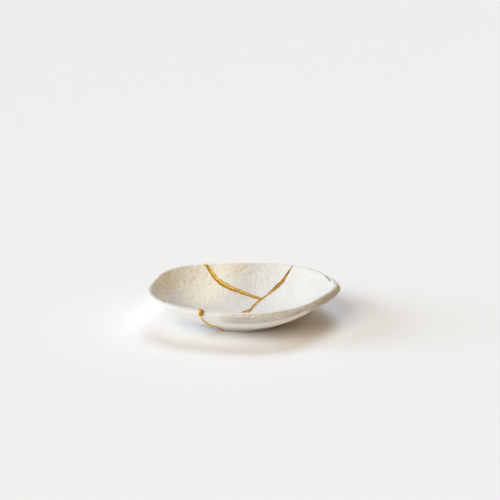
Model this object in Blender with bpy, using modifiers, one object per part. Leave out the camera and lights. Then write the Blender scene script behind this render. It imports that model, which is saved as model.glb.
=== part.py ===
"""A shallow, hand-formed ceramic dish, broken in three and mended with gold lacquer.

The clay is one turned wall whose outline is pushed out of true by slow waves, as a hand-pressed
dish is. Three cracks run from one point on the floor to the rim and part the clay into three
shards. The gold lacquer fills the cracks through the wall and stands proud on both faces.

Metres, +Z up. The origin is on the table, under the middle of the dish's own width and depth.
"""
import math

import bmesh
import bpy
from mathutils import Matrix, Vector

# The turned clay wall
RIM_RADIUS = 0.0730
RIM_HEIGHT = 0.0284
WALL = 0.0045
FLOOR_HEIGHT = 0.0050
WALL_CURVE = 3.1

# The foot that it stands on
FOOT_RADIUS = 0.0330
FOOT_FLARE = 0.0060
FOOT_RING_WIDTH = 0.0060
FOOT_RECESS = 0.0012

# The hand-formed rim: waves as count round the rim, size, and direction of the first crest in degrees
PLAN_WAVES = ((2, 0.00104, 65.0), (4, 0.00226, 33.0), (5, 0.00153, -4.0))
RIM_WAVES = ((1, 0.00093, -119.0), (2, 0.00153, -12.0), (3, 0.00070, -47.0))
RIM_SHIFT_X = -0.0001
RIM_SHIFT_Y = 0.0005

# The outside of the wall swells below the rim, most on the right
SWELL = 0.0012
SWELL_TO_RIGHT = 0.0026
SWELL_BELOW_CREST = 0.0069
SWELL_SPREAD = 0.0060

# The cracks, each from the point where they meet out to the rim: x, y and the width of gold there
CRACK_TO_BACK_LEFT = (
    (0.0146, 0.0313, 0.0018),
    (0.0103, 0.0342, 0.0023),
    (0.0039, 0.0389, 0.0029),
    (-0.0026, 0.0429, 0.0031),
    (-0.0083, 0.0461, 0.0033),
    (-0.0149, 0.0496, 0.0036),
    (-0.0195, 0.0530, 0.0034),
    (-0.0233, 0.0568, 0.0027),
    (-0.0301, 0.0653, 0.0022),
)
CRACK_TO_BACK_RIGHT = (
    (0.0146, 0.0313, 0.0018),
    (0.0189, 0.0359, 0.0014),
    (0.0222, 0.0401, 0.0019),
    (0.0255, 0.0437, 0.0025),
    (0.0288, 0.0471, 0.0028),
    (0.0323, 0.0510, 0.0024),
    (0.0350, 0.0553, 0.0016),
    (0.0406, 0.0618, 0.0012),
)
CRACK_TO_FRONT = (
    (0.0146, 0.0313, 0.0018),
    (0.0119, 0.0267, 0.0020),
    (0.0084, 0.0186, 0.0020),
    (0.0070, 0.0132, 0.0015),
    (0.0048, 0.0080, 0.0026),
    (0.0016, 0.0026, 0.0044),
    (-0.0025, -0.0055, 0.0042),
    (-0.0075, -0.0155, 0.0028),
    (-0.0130, -0.0255, 0.0024),
    (-0.0185, -0.0328, 0.0028),
    (-0.0240, -0.0410, 0.0030),
    (-0.0280, -0.0505, 0.0024),
    (-0.0310, -0.0595, 0.0018),
    (-0.0306, -0.0665, 0.0022),
)

# The gold lacquer
GOLD_WEB = 0.0008
GOLD_PROUD = 0.0006
GOLD_ABOVE_TABLE = 0.0003
JOINT_GAP = 0.0003
MEETING_BLOT_RADIUS = 0.0017
RIM_DROP_WIDTH = 0.0046
RIM_DROP_HEIGHT = 0.0062
RIM_DROP_BELOW_CREST = 0.0022

# How finely the curved shapes are cut into flats
TURN_STEPS = 72
WALL_STEPS = 8
CROWD_TO_RIM = 0.7
LIP_STEPS_IN = 2
LIP_STEPS_OUT = 4
STEPS_PER_SPAN = 2
DROP_SEGMENTS = 12
DROP_RINGS = 8
BLOT_SIDES = 16
CRISP_ANGLE = 40.0

# Cutters reach this far past the clay
CUTTER_REACH = 0.030
MERGE_DISTANCE = 0.00001


def clear_scene():
    """Remove every object that the file opened with."""
    for thing in list(bpy.data.objects):
        bpy.data.objects.remove(thing, do_unlink=True)


def new_collection(name):
    """A collection of its own, linked to the scene."""
    collection = bpy.data.collections.new(name)
    bpy.context.scene.collection.children.link(collection)
    return collection


def new_material(name, colour, roughness, metallic):
    """A plain finish: colour, roughness and metallic value."""
    material = bpy.data.materials.new(name)
    material.use_nodes = True
    shader = material.node_tree.nodes["Principled BSDF"]
    shader.inputs["Base Color"].default_value = (*colour, 1.0)
    shader.inputs["Roughness"].default_value = roughness
    shader.inputs["Metallic"].default_value = metallic
    return material


def wave_sum(waves, angle):
    """The waves added up at one direction round the rim."""
    return sum(size * math.cos(count * (angle - math.radians(crest))) for count, size, crest in waves)


def smooth_rise(low, high, value):
    """0 below low, 1 above high, and a soft rise between."""
    share = min(max((value - low) / (high - low), 0.0), 1.0)
    return share * share * (3.0 - 2.0 * share)


def mid_wall(radius):
    """Height and slope of the middle of the wall, which rises as a power of the radius."""
    start = FLOOR_HEIGHT - 0.5 * WALL
    rise = RIM_HEIGHT - 0.5 * WALL - start
    height = start + rise * (radius / RIM_RADIUS) ** WALL_CURVE
    slope = rise * WALL_CURVE / RIM_RADIUS * (radius / RIM_RADIUS) ** (WALL_CURVE - 1.0)
    return height, math.atan(slope)


def wall_point(radius, offset):
    """A point beside the middle of the wall; a positive offset is inwards and up."""
    height, slope = mid_wall(radius)
    return radius - offset * math.sin(slope), height + offset * math.cos(slope)


def swell(radius, height, angle):
    """How far the outer face swells outwards; nothing on the inner face."""
    mid_height, slope = mid_wall(radius)
    outside = min(max(0.5 + (mid_height - height) * math.cos(slope) / WALL, 0.0), 1.0)
    near = math.exp(-((RIM_HEIGHT - SWELL_BELOW_CREST - height) / SWELL_SPREAD) ** 2)
    return outside * near * (SWELL + SWELL_TO_RIGHT * math.cos(angle))


def hand_form(point):
    """Push a point of the turned dish out of true: nothing moves at the foot, most at the rim."""
    radius = math.hypot(point.x, point.y)
    angle = math.atan2(point.y, point.x)
    share = smooth_rise(FOOT_RADIUS, RIM_RADIUS, radius)
    formed = radius + share * (wave_sum(PLAN_WAVES, angle) + swell(radius, point.z, angle))
    point.x = formed * math.cos(angle) + share * RIM_SHIFT_X
    point.y = formed * math.sin(angle) + share * RIM_SHIFT_Y
    point.z += share * wave_sum(RIM_WAVES, angle) * point.z / RIM_HEIGHT


def dish_profile(skin):
    """The dish's section, grown by skin on every side: up the inside, over the lip and down the outside."""
    half = 0.5 * WALL + skin
    lip_height, lip_slope = mid_wall(RIM_RADIUS)
    inner_radii = [RIM_RADIUS * (i / WALL_STEPS) ** CROWD_TO_RIM for i in range(WALL_STEPS)]
    inner_wall = [wall_point(radius, half) for radius in inner_radii]
    up = 0.5 * math.pi
    turn_in = [up + lip_slope * (1.0 - i / LIP_STEPS_IN) for i in range(LIP_STEPS_IN)]
    turn_out = [up - (math.pi - lip_slope) * i / LIP_STEPS_OUT for i in range(LIP_STEPS_OUT + 1)]
    lip = [(RIM_RADIUS + half * math.cos(a), lip_height + half * math.sin(a)) for a in turn_in + turn_out]
    flare_radius = FOOT_RADIUS + FOOT_FLARE
    inwards = (flare_radius - RIM_RADIUS) / WALL_STEPS
    outer_wall = [wall_point(RIM_RADIUS + inwards * i, -half) for i in range(1, WALL_STEPS + 1)]
    ring_inner = FOOT_RADIUS - FOOT_RING_WIDTH - skin
    foot = [
        (FOOT_RADIUS + skin, -skin),
        (ring_inner, -skin),
        (ring_inner - FOOT_RECESS, FOOT_RECESS - skin),
        (0.0, FOOT_RECESS - skin),
    ]
    return inner_wall + lip + outer_wall + foot


def turned_dish(name, skin, collection):
    """The section turned on its axis with Screw, then hand-formed."""
    profile = dish_profile(skin)
    mesh = bpy.data.meshes.new(name + "_profile")
    count = len(profile)
    mesh.from_pydata([(x, 0.0, z) for x, z in profile], [(i, i + 1) for i in range(count - 1)], [])
    blank = bpy.data.objects.new(name + "_blank", mesh)
    collection.objects.link(blank)
    screw = blank.modifiers.new("turned", "SCREW")
    screw.axis = "Z"
    screw.steps = TURN_STEPS
    screw.render_steps = TURN_STEPS
    screw.use_merge_vertices = True
    screw.merge_threshold = MERGE_DISTANCE
    bpy.context.view_layer.update()
    turned = bpy.data.meshes.new_from_object(blank.evaluated_get(bpy.context.evaluated_depsgraph_get()))
    bpy.data.objects.remove(blank, do_unlink=True)
    for vertex in turned.vertices:
        hand_form(vertex.co)
    turned.name = name
    dish = bpy.data.objects.new(name, turned)
    collection.objects.link(dish)
    return dish


def run_past_rim(crack):
    """The crack with one more point, straight on from its last two, that lies well past the rim."""
    before_x, before_y, _ = crack[-2]
    x, y, gold = crack[-1]
    reach = RIM_RADIUS + 0.5 * CUTTER_REACH
    onward = max(reach - math.hypot(x, y), 0.5 * CUTTER_REACH)
    run = math.hypot(x - before_x, y - before_y)
    return crack + ((x + (x - before_x) / run * onward, y + (y - before_y) / run * onward, gold),)


def smooth_path(crack):
    """A smooth curve along a crack and on past the rim, as Catmull and Rom's cubic in each span."""
    points = run_past_rim(crack)
    path = []
    for i in range(len(points) - 1):
        before = points[max(i - 1, 0)]
        start = points[i]
        end = points[i + 1]
        after = points[min(i + 2, len(points) - 1)]
        for step in range(STEPS_PER_SPAN):
            t = step / STEPS_PER_SPAN
            path.append(tuple(
                0.5 * (2.0 * b + (c - a) * t + (2.0 * a - 5.0 * b + 4.0 * c - d) * t ** 2
                       + (3.0 * b - a - 3.0 * c + d) * t ** 3)
                for a, b, c, d in zip(before, start, end, after)))
    path.append(points[-1])
    return path


def upright_prism(name, outline, collection):
    """A closed plan outline as a solid that reaches well above and below the dish."""
    curve = bpy.data.curves.new(name + "_outline", "CURVE")
    curve.dimensions = "2D"
    curve.fill_mode = "BOTH"
    curve.extrude = 0.5 * RIM_HEIGHT + CUTTER_REACH
    spline = curve.splines.new("POLY")
    spline.points.add(len(outline) - 1)
    for point, (x, y) in zip(spline.points, outline):
        point.co = (x, y, 0.0, 1.0)
    spline.use_cyclic_u = True
    drawn = bpy.data.objects.new(name + "_drawn", curve)
    drawn.location.z = 0.5 * RIM_HEIGHT
    collection.objects.link(drawn)
    bpy.context.view_layer.update()
    mesh = bpy.data.meshes.new_from_object(drawn.evaluated_get(bpy.context.evaluated_depsgraph_get()))
    mesh.transform(drawn.matrix_world)
    bpy.data.objects.remove(drawn, do_unlink=True)
    weld(mesh)
    prism = bpy.data.objects.new(name, mesh)
    collection.objects.link(prism)
    return prism


def weld(mesh):
    """Join the loose caps of a filled curve to its sides."""
    shape = bmesh.new()
    shape.from_mesh(mesh)
    bmesh.ops.remove_doubles(shape, verts=shape.verts, dist=MERGE_DISTANCE)
    bmesh.ops.recalc_face_normals(shape, faces=shape.faces)
    shape.to_mesh(mesh)
    shape.free()


def ribbon(name, crack, width, collection):
    """A strip along a crack, with one width, or the crack's own gold widths where width is None."""
    path = smooth_path(crack)
    left = []
    right = []
    for i, (x, y, gold) in enumerate(path):
        before = path[max(i - 1, 0)]
        after = path[min(i + 1, len(path) - 1)]
        run = math.hypot(after[0] - before[0], after[1] - before[1])
        along_x = (after[0] - before[0]) / run
        along_y = (after[1] - before[1]) / run
        half = 0.5 * (gold if width is None else width)
        back = half if i == 0 else 0.0
        left.append((x - along_x * back - along_y * half, y - along_y * back + along_x * half))
        right.append((x - along_x * back + along_y * half, y - along_y * back - along_x * half))
    return upright_prism(name, left + right[::-1], collection)


def sector(name, first_crack, second_crack, collection):
    """The plan of one shard: out along one crack, round past the rim, and back along the next crack."""
    out = [point[:2] for point in smooth_path(first_crack)]
    back = [point[:2] for point in smooth_path(second_crack)][::-1]
    start = math.atan2(out[-1][1], out[-1][0])
    sweep = (math.atan2(back[0][1], back[0][0]) - start) % (2.0 * math.pi)
    reach = RIM_RADIUS + CUTTER_REACH
    round_steps = max(2, round(TURN_STEPS * sweep / (2.0 * math.pi)))
    turns = [start + sweep * i / round_steps for i in range(round_steps + 1)]
    arc = [(reach * math.cos(turn), reach * math.sin(turn)) for turn in turns]
    return upright_prism(name, out + arc + back[:-1], collection)


def cut(thing, operation, other):
    """One exact Boolean step, left live on the object."""
    step = thing.modifiers.new(operation.lower() + "_" + other.name, "BOOLEAN")
    step.operation = operation
    step.object = other
    step.solver = "EXACT"


def rim_crossing(crack):
    """Where a crack's path crosses the crest of the rim."""
    path = smooth_path(crack)
    for x, y, _ in path:
        angle = math.atan2(y, x)
        crest = Vector((RIM_RADIUS * math.cos(angle), RIM_RADIUS * math.sin(angle), RIM_HEIGHT))
        hand_form(crest)
        if math.hypot(x, y) >= math.hypot(crest.x, crest.y):
            return crest
    return crest


def rim_drop(crack, collection):
    """The thick drop of lacquer that has run over the front of the rim."""
    crest = rim_crossing(crack)
    bpy.ops.mesh.primitive_uv_sphere_add(segments=DROP_SEGMENTS, ring_count=DROP_RINGS, radius=0.5)
    drop = bpy.context.active_object
    drop.name = "rim_drop"
    drop.data.transform(Matrix.Diagonal((RIM_DROP_WIDTH, RIM_DROP_WIDTH, RIM_DROP_HEIGHT, 1.0)))
    outwards = 1.0 + 0.5 * WALL / math.hypot(crest.x, crest.y)
    place = Vector((crest.x * outwards, crest.y * outwards, crest.z - RIM_DROP_BELOW_CREST))
    drop.data.transform(Matrix.Translation(place))
    move_to(drop, collection)
    return drop


def meeting_blot(collection):
    """The small round pool of lacquer where the three cracks meet."""
    x, y, _ = CRACK_TO_FRONT[0]
    turns = [2.0 * math.pi * i / BLOT_SIDES for i in range(BLOT_SIDES)]
    outline = [(x + MEETING_BLOT_RADIUS * math.cos(turn), y + MEETING_BLOT_RADIUS * math.sin(turn))
               for turn in turns]
    return upright_prism("meeting_blot", outline, collection)


def table_slab(collection):
    """All that lies below the lowest level that the gold may reach."""
    reach = RIM_RADIUS + CUTTER_REACH
    bpy.ops.mesh.primitive_cube_add(size=1.0)
    slab = bpy.context.active_object
    slab.name = "table_slab"
    slab.data.transform(Matrix.Diagonal((2.0 * reach, 2.0 * reach, CUTTER_REACH, 1.0)))
    slab.data.transform(Matrix.Translation((0.0, 0.0, GOLD_ABOVE_TABLE - 0.5 * CUTTER_REACH)))
    move_to(slab, collection)
    return slab


def move_to(thing, collection):
    """Take an object out of the collections it is in and put it in this one."""
    for old in list(thing.users_collection):
        old.objects.unlink(thing)
    collection.objects.link(thing)


def finish_part(part, material):
    """Give a part its finish and smooth shading with crisp edges."""
    part.data.materials.clear()
    part.data.materials.append(material)
    part.data.shade_smooth()
    part.data.set_sharp_from_angle(angle=math.radians(CRISP_ANGLE))


def build_shards(parts, cutters, clay):
    """The three ceramic shards: the whole dish less the cracks, each within its own sector."""
    cracks = {"back_left": CRACK_TO_BACK_LEFT, "back_right": CRACK_TO_BACK_RIGHT, "front": CRACK_TO_FRONT}
    opening = GOLD_WEB + 2.0 * JOINT_GAP
    openings = [ribbon("crack_" + name, crack, opening, cutters) for name, crack in cracks.items()]
    whole = turned_dish("whole_dish", 0.0, cutters)
    shards = (
        ("left_shard", CRACK_TO_BACK_LEFT, CRACK_TO_FRONT),
        ("right_shard", CRACK_TO_FRONT, CRACK_TO_BACK_RIGHT),
        ("back_shard", CRACK_TO_BACK_RIGHT, CRACK_TO_BACK_LEFT),
    )
    for name, first_crack, second_crack in shards:
        shard = bpy.data.objects.new(name, whole.data.copy())
        parts.objects.link(shard)
        finish_part(shard, clay)
        for gap in openings:
            cut(shard, "DIFFERENCE", gap)
        cut(shard, "INTERSECT", sector("sector_" + name, first_crack, second_crack, cutters))
    return whole


def build_gold(parts, cutters, gold):
    """The lacquer: strips of a slightly larger dish, less the clay, plus the webs through the wall."""
    seam = turned_dish("gold_seam", GOLD_PROUD, parts)
    strips = ribbon("strip_back_left", CRACK_TO_BACK_LEFT, None, cutters)
    cut(strips, "UNION", ribbon("strip_back_right", CRACK_TO_BACK_RIGHT, None, cutters))
    cut(strips, "UNION", ribbon("strip_front", CRACK_TO_FRONT, None, cutters))
    cut(strips, "UNION", meeting_blot(cutters))
    clay_room = turned_dish("clay_room", JOINT_GAP, cutters)
    cut(clay_room, "DIFFERENCE", ribbon("web_back_left", CRACK_TO_BACK_LEFT, GOLD_WEB, cutters))
    cut(clay_room, "DIFFERENCE", ribbon("web_back_right", CRACK_TO_BACK_RIGHT, GOLD_WEB, cutters))
    cut(clay_room, "DIFFERENCE", ribbon("web_front", CRACK_TO_FRONT, GOLD_WEB, cutters))
    finish_part(seam, gold)
    cut(seam, "INTERSECT", strips)
    cut(seam, "UNION", rim_drop(CRACK_TO_FRONT, cutters))
    cut(seam, "DIFFERENCE", clay_room)
    cut(seam, "DIFFERENCE", table_slab(cutters))


def stand_on_origin(whole, parts, cutters):
    """Put the middle of the dish's width and depth over the origin."""
    xs = [vertex.co.x for vertex in whole.data.vertices]
    ys = [vertex.co.y for vertex in whole.data.vertices]
    stand = bpy.data.objects.new("dish_stand", None)
    stand.location = (-0.5 * (min(xs) + max(xs)), -0.5 * (min(ys) + max(ys)), 0.0)
    parts.objects.link(stand)
    for thing in list(parts.objects) + list(cutters.objects):
        if thing is not stand:
            thing.parent = stand


def hide_cutters(cutters):
    """Show the cutters as wires and keep them out of renders."""
    for cutter in cutters.objects:
        cutter.display_type = "WIRE"
        cutter.hide_render = True


def build():
    """Make the dish from its named sizes."""
    clear_scene()
    parts = new_collection("kintsugi_bowl")
    cutters = new_collection("cutters")
    clay = new_material("off_white_clay", (0.80, 0.77, 0.71), 0.85, 0.0)
    gold = new_material("gold_lacquer", (0.80, 0.50, 0.15), 0.35, 1.0)
    whole = build_shards(parts, cutters, clay)
    build_gold(parts, cutters, gold)
    stand_on_origin(whole, parts, cutters)
    hide_cutters(cutters)


build()
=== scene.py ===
import math

import bmesh
import bpy
import numpy as np
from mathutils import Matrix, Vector


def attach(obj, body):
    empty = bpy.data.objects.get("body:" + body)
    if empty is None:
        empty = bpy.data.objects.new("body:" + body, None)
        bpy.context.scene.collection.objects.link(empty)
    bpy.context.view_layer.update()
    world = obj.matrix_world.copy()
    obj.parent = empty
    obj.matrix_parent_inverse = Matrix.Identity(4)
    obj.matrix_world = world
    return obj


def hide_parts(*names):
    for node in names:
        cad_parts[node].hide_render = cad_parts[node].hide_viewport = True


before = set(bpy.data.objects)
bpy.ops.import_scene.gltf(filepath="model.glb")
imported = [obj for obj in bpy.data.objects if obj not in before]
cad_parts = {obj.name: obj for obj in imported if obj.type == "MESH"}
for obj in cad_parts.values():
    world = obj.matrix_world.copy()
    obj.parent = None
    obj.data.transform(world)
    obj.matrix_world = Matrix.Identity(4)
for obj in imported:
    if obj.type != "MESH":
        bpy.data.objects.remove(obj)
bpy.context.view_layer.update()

# The dish
# One wall of off-white stoneware, pressed by hand over a turned form and fired matt with no glaze.
# It has broken in three. Each shard is one solid: inside face, round lip, outside with a low foot,
# and the broken edges that the gold lacquer joins. Metres; plan places are from the foot's centre.

FOOT_CENTRE_X = -0.00197
FOOT_CENTRE_Y = 0.00050
RIM_RADIUS = 0.0730
RIM_HEIGHT = 0.0284
WALL = 0.0045
FLOOR_HEIGHT = 0.0050
WALL_CURVE = 3.1
FOOT_RADIUS = 0.0330
FOOT_FLARE = 0.0060
FOOT_RING_WIDTH = 0.0060
FOOT_RECESS = 0.0012
FOOT_CORNER = 0.0006

# Waves round the rim: count, size, and the direction of the first crest in degrees
PLAN_WAVES = ((2, 0.00104, 65.0), (4, 0.00226, 33.0), (5, 0.00153, -4.0))
RIM_WAVES = ((1, 0.00093, -119.0), (2, 0.00153, -12.0), (3, 0.00070, -47.0))
RIM_SHIFT_X = -0.0001
RIM_SHIFT_Y = 0.0005
SWELL = 0.0012
SWELL_TO_RIGHT = 0.0026
SWELL_BELOW_CREST = 0.0069
SWELL_SPREAD = 0.0060


def smooth_rise(low, high, value):
    """0 below low, 1 above high, and 3s^2 - 2s^3 of the share s in between."""
    share = np.clip((value - low) / (high - low), 0.0, 1.0)
    return share * share * (3.0 - 2.0 * share)


def bell(value, middle, spread):
    """1 at the middle and less on both sides: e to minus the square of the distance over the spread."""
    return np.exp(-((value - middle) / spread) ** 2)


def wave_sum(waves, angle):
    """Each wave is its size times the cosine of its count times the angle from its crest; they add up."""
    return sum(size * np.cos(count * (angle - math.radians(crest))) for count, size, crest in waves)


def mid_wall(reach):
    """The middle of the wall at a reach: its height rises from the floor as a power of the reach, and its
    slope is what that height gains for each step outwards, as an angle."""
    start = FLOOR_HEIGHT - 0.5 * WALL
    rise = RIM_HEIGHT - 0.5 * WALL - start
    height = start + rise * (reach / RIM_RADIUS) ** WALL_CURVE
    slope = rise * WALL_CURVE / RIM_RADIUS * (reach / RIM_RADIUS) ** (WALL_CURVE - 1.0)
    return height, np.arctan(slope)


def beside_wall(reach, offset):
    """A point square to the middle of the wall at that offset, positive inwards and up."""
    height, slope = mid_wall(reach)
    return reach - offset * np.sin(slope), height + offset * np.cos(slope)


def hand_formed(radius, angle, height):
    """The turned point, pushed out by the plan waves and the outer swell and up by the rim waves, by a
    share that is 0 at the foot and 1 at the rim."""
    share = smooth_rise(FOOT_RADIUS, RIM_RADIUS, radius)
    middle, slope = mid_wall(np.maximum(radius, 0.0))
    outside = np.clip(0.5 + (middle - height) * np.cos(slope) / WALL, 0.0, 1.0)
    near = bell(height, RIM_HEIGHT - SWELL_BELOW_CREST, SWELL_SPREAD)
    swell = outside * near * (SWELL + SWELL_TO_RIGHT * np.cos(angle))
    formed = radius + share * (wave_sum(PLAN_WAVES, angle) + swell)
    x = formed * np.cos(angle) + share * RIM_SHIFT_X
    y = formed * np.sin(angle) + share * RIM_SHIFT_Y
    z = height + share * wave_sum(RIM_WAVES, angle) * height / RIM_HEIGHT
    return np.stack((x, y, z), axis=-1)


def inner_face(reach, angle, proud):
    """The inside at a reach from the middle and an angle round it, lifted by proud."""
    radius, height = beside_wall(reach, 0.5 * WALL + proud)
    return hand_formed(radius, angle, height)


def outer_section(reach, proud):
    """The outside's section: the wall beyond the flare, and straight lines between the foot's corners
    within it."""
    flare = FOOT_RADIUS + FOOT_FLARE
    flare_radius, flare_height = beside_wall(flare, -0.5 * WALL)
    ring_inner = FOOT_RADIUS - FOOT_RING_WIDTH
    recess_edge = ring_inner - FOOT_RECESS
    corners = (-recess_edge, recess_edge, ring_inner, FOOT_RADIUS, flare)
    foot_radius = np.interp(reach, corners, (*corners[:-1], flare_radius))
    foot_height = np.interp(reach, corners, (FOOT_RECESS, FOOT_RECESS, 0.0, 0.0, flare_height))
    wall_radius, wall_height = beside_wall(np.maximum(reach, 0.0), -0.5 * WALL - proud)
    on_wall = reach > flare
    radius = np.where(on_wall, wall_radius, foot_radius)
    height = np.where(on_wall, wall_height, foot_height - proud)
    return radius, height


def outer_face(reach, angle, proud):
    """The outside at a reach and angle: the mean of its section over a short run each way, which eases
    the foot's corners."""
    runs = FOOT_CORNER * np.array((-1.0, -0.5, 0.0, 0.5, 1.0))
    sections = [outer_section(reach + run, proud) for run in runs]
    radius = sum(section[0] for section in sections) / len(runs)
    height = sum(section[1] for section in sections) / len(runs)
    return hand_formed(radius, angle, height)


# How square the lip's outer shoulder is: 2 is round, and more is squarer
SHOULDER = 3.6


def signed_power(value, power):
    """The value's size taken to a power, with the value's own sign."""
    return np.sign(value) * np.abs(value) ** power


def lip_face(turn, angle, proud):
    """The lip round the end of the wall's middle, from turn 0 inside to turn 1 outside: half a circle whose
    outer shoulder is squared, where cosine and sine are taken to the power 2 / SHOULDER."""
    height, slope = mid_wall(RIM_RADIUS)
    way = 0.5 * math.pi + slope - math.pi * turn
    half = 0.5 * WALL + proud
    power = np.where((way > 0.0) & (way < 0.5 * math.pi), 2.0 / SHOULDER, 1.0)
    radius = RIM_RADIUS + half * signed_power(np.cos(way), power)
    return hand_formed(radius, angle, height + half * signed_power(np.sin(way), power))


# The cracks, from the point where they meet to the rim: x, y and the width of gold there
CRACK_TO_BACK_LEFT = (
    (0.0146, 0.0313, 0.0018), (0.0103, 0.0342, 0.0023), (0.0039, 0.0389, 0.0029),
    (-0.0026, 0.0429, 0.0031), (-0.0083, 0.0461, 0.0033), (-0.0149, 0.0496, 0.0036),
    (-0.0195, 0.0530, 0.0034), (-0.0233, 0.0568, 0.0027), (-0.0301, 0.0653, 0.0022),
)
CRACK_TO_BACK_RIGHT = (
    (0.0146, 0.0313, 0.0018), (0.0189, 0.0359, 0.0014), (0.0222, 0.0401, 0.0019),
    (0.0255, 0.0437, 0.0025), (0.0288, 0.0471, 0.0028), (0.0323, 0.0510, 0.0024),
    (0.0350, 0.0553, 0.0016), (0.0406, 0.0618, 0.0012),
)
CRACK_TO_FRONT = (
    (0.0146, 0.0313, 0.0018), (0.0119, 0.0267, 0.0020), (0.0084, 0.0186, 0.0020),
    (0.0070, 0.0132, 0.0015), (0.0048, 0.0080, 0.0026), (0.0016, 0.0026, 0.0044),
    (-0.0025, -0.0055, 0.0042), (-0.0075, -0.0155, 0.0028), (-0.0130, -0.0255, 0.0024),
    (-0.0185, -0.0328, 0.0028), (-0.0240, -0.0410, 0.0030), (-0.0280, -0.0505, 0.0024),
    (-0.0310, -0.0595, 0.0018), (-0.0306, -0.0665, 0.0022),
)
PAST_RIM = 0.015
STEPS_A_SPAN = 24
FITTING_ROUNDS = 12
EDGE_SETBACK = 0.0003
CORNER_RUN = 0.0020


def smooth_path(points):
    """A cubic through the points, whose slope at each is half the way from the point before to the point
    after, and then straight on past the rim; every span at once."""
    given = np.array(points)
    onward = given[-1] - given[-2]
    onward *= PAST_RIM / np.hypot(onward[0], onward[1])
    onward[2] = 0.0
    given = np.vstack((given, given[-1] + onward))
    padded = np.vstack((given[:1], given, given[-1:]))
    quarters = (padded[:-3], padded[1:-2], padded[2:-1], padded[3:])
    before, start, end, after = (part[:, None, :] for part in quarters)
    share = (np.arange(STEPS_A_SPAN) / STEPS_A_SPAN)[None, :, None]
    square = 2 * before - 5 * start + 4 * end - after
    cube = 3 * start - before - 3 * end + after
    spans = 0.5 * (2 * start + (end - before) * share + square * share ** 2 + cube * share ** 3)
    return np.vstack((spans.reshape(-1, 3), given[-1:]))


def run_along(path):
    """Distance along a path to each of its points: the lengths of its steps, added up."""
    steps = np.hypot(np.diff(path[:, 0]), np.diff(path[:, 1]))
    return np.concatenate(([0.0], np.cumsum(steps)))


def right_of(path):
    """Unit vectors to the right of the way along a path: the tangent turned a quarter clockwise."""
    tangent = np.gradient(path[:, :2], axis=0)
    tangent /= np.hypot(tangent[:, 0], tangent[:, 1])[:, None]
    return np.stack((tangent[:, 1], -tangent[:, 0]), axis=-1)


def place_on_face(face, plan):
    """Where on a face each plan point lies, as flat coordinates whose length is the reach: a guess, moved
    by what is left over, again and again."""
    guess = plan[..., :2].copy()
    for _ in range(FITTING_ROUNDS):
        reach = np.hypot(guess[..., 0], guess[..., 1])
        angle = np.arctan2(guess[..., 1], guess[..., 0])
        guess += plan[..., :2] - face(reach, angle, np.zeros_like(reach))[..., :2]
    return guess


def distance_to_rim(corner, direction):
    """Distance from the corner to the rim circle: the longer root of the circle's quadratic."""
    along = corner[0] * np.cos(direction) + corner[1] * np.sin(direction)
    return -along + np.sqrt(along ** 2 - corner @ corner + RIM_RADIUS ** 2)


def share_of_reach(corner, place):
    """How far from the corner towards the rim circle each place is, from 0 to 1, and in which direction."""
    way = place - corner
    length = np.hypot(way[..., 0], way[..., 1])
    direction = np.arctan2(way[..., 1], way[..., 0])
    return length / distance_to_rim(corner, direction), direction


def angle_on_rim(corner, direction):
    """The angle round the dish at which a line from the corner in that direction meets the rim circle."""
    way = np.array((math.cos(direction), math.sin(direction)))
    met = corner + distance_to_rim(corner, direction) * way
    return math.atan2(met[1], met[0])


def shard_corner_and_edges(face, first_crack, second_crack):
    """The two broken edges of a shard on one face, each set back from its crack's middle towards the shard,
    and the mitred corner that they both leave."""
    first = smooth_path(first_crack)
    second = smooth_path(second_crack)
    into_from_first = -right_of(first)
    into_from_second = right_of(second)
    first_way, second_way = into_from_first[0], into_from_second[0]
    mitre = EDGE_SETBACK * (first_way + second_way) / (1.0 + first_way @ second_way)
    edges = []
    for path, into in ((first, into_from_first), (second, into_from_second)):
        away = smooth_rise(0.0, CORNER_RUN, run_along(path))[:, None]
        moved = path[:, :2] + (1.0 - away) * mitre + away * EDGE_SETBACK * into
        edges.append(place_on_face(face, moved))
    return edges[0][0], edges[0], edges[1]


def shard_patch(face, first_crack, second_crack, shares, columns):
    """One face of a shard as a grid of reaches and angles. A row is a share of the way from the corner to the
    rim, and the direction is mixed from the first edge's to the second's, with equal steps of rim between
    columns."""
    corner, first, second = shard_corner_and_edges(face, first_crack, second_crack)
    directions = []
    for edge in (first, second):
        share, direction = share_of_reach(corner, edge[1:])
        directions.append(np.interp(shares, share, np.unwrap(direction)))
    start, end = directions
    end = end + 2.0 * math.pi * (end[-1] < start[-1])
    turn_start = angle_on_rim(corner, start[-1])
    sweep = (angle_on_rim(corner, end[-1]) - turn_start) % (2.0 * math.pi)
    turns = turn_start + sweep * np.linspace(0.0, 1.0, columns)
    _, seen = share_of_reach(corner, RIM_RADIUS * np.stack((np.cos(turns), np.sin(turns)), axis=-1))
    seen = np.unwrap(seen)
    across = (seen - seen[0]) / (seen[-1] - seen[0])
    direction = start[:, None] + (end - start)[:, None] * across
    length = shares[:, None] * distance_to_rim(corner, direction)
    x = corner[0] + length * np.cos(direction)
    y = corner[1] + length * np.sin(direction)
    return np.hypot(x, y), np.unwrap(np.arctan2(y, x), axis=1)


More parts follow.
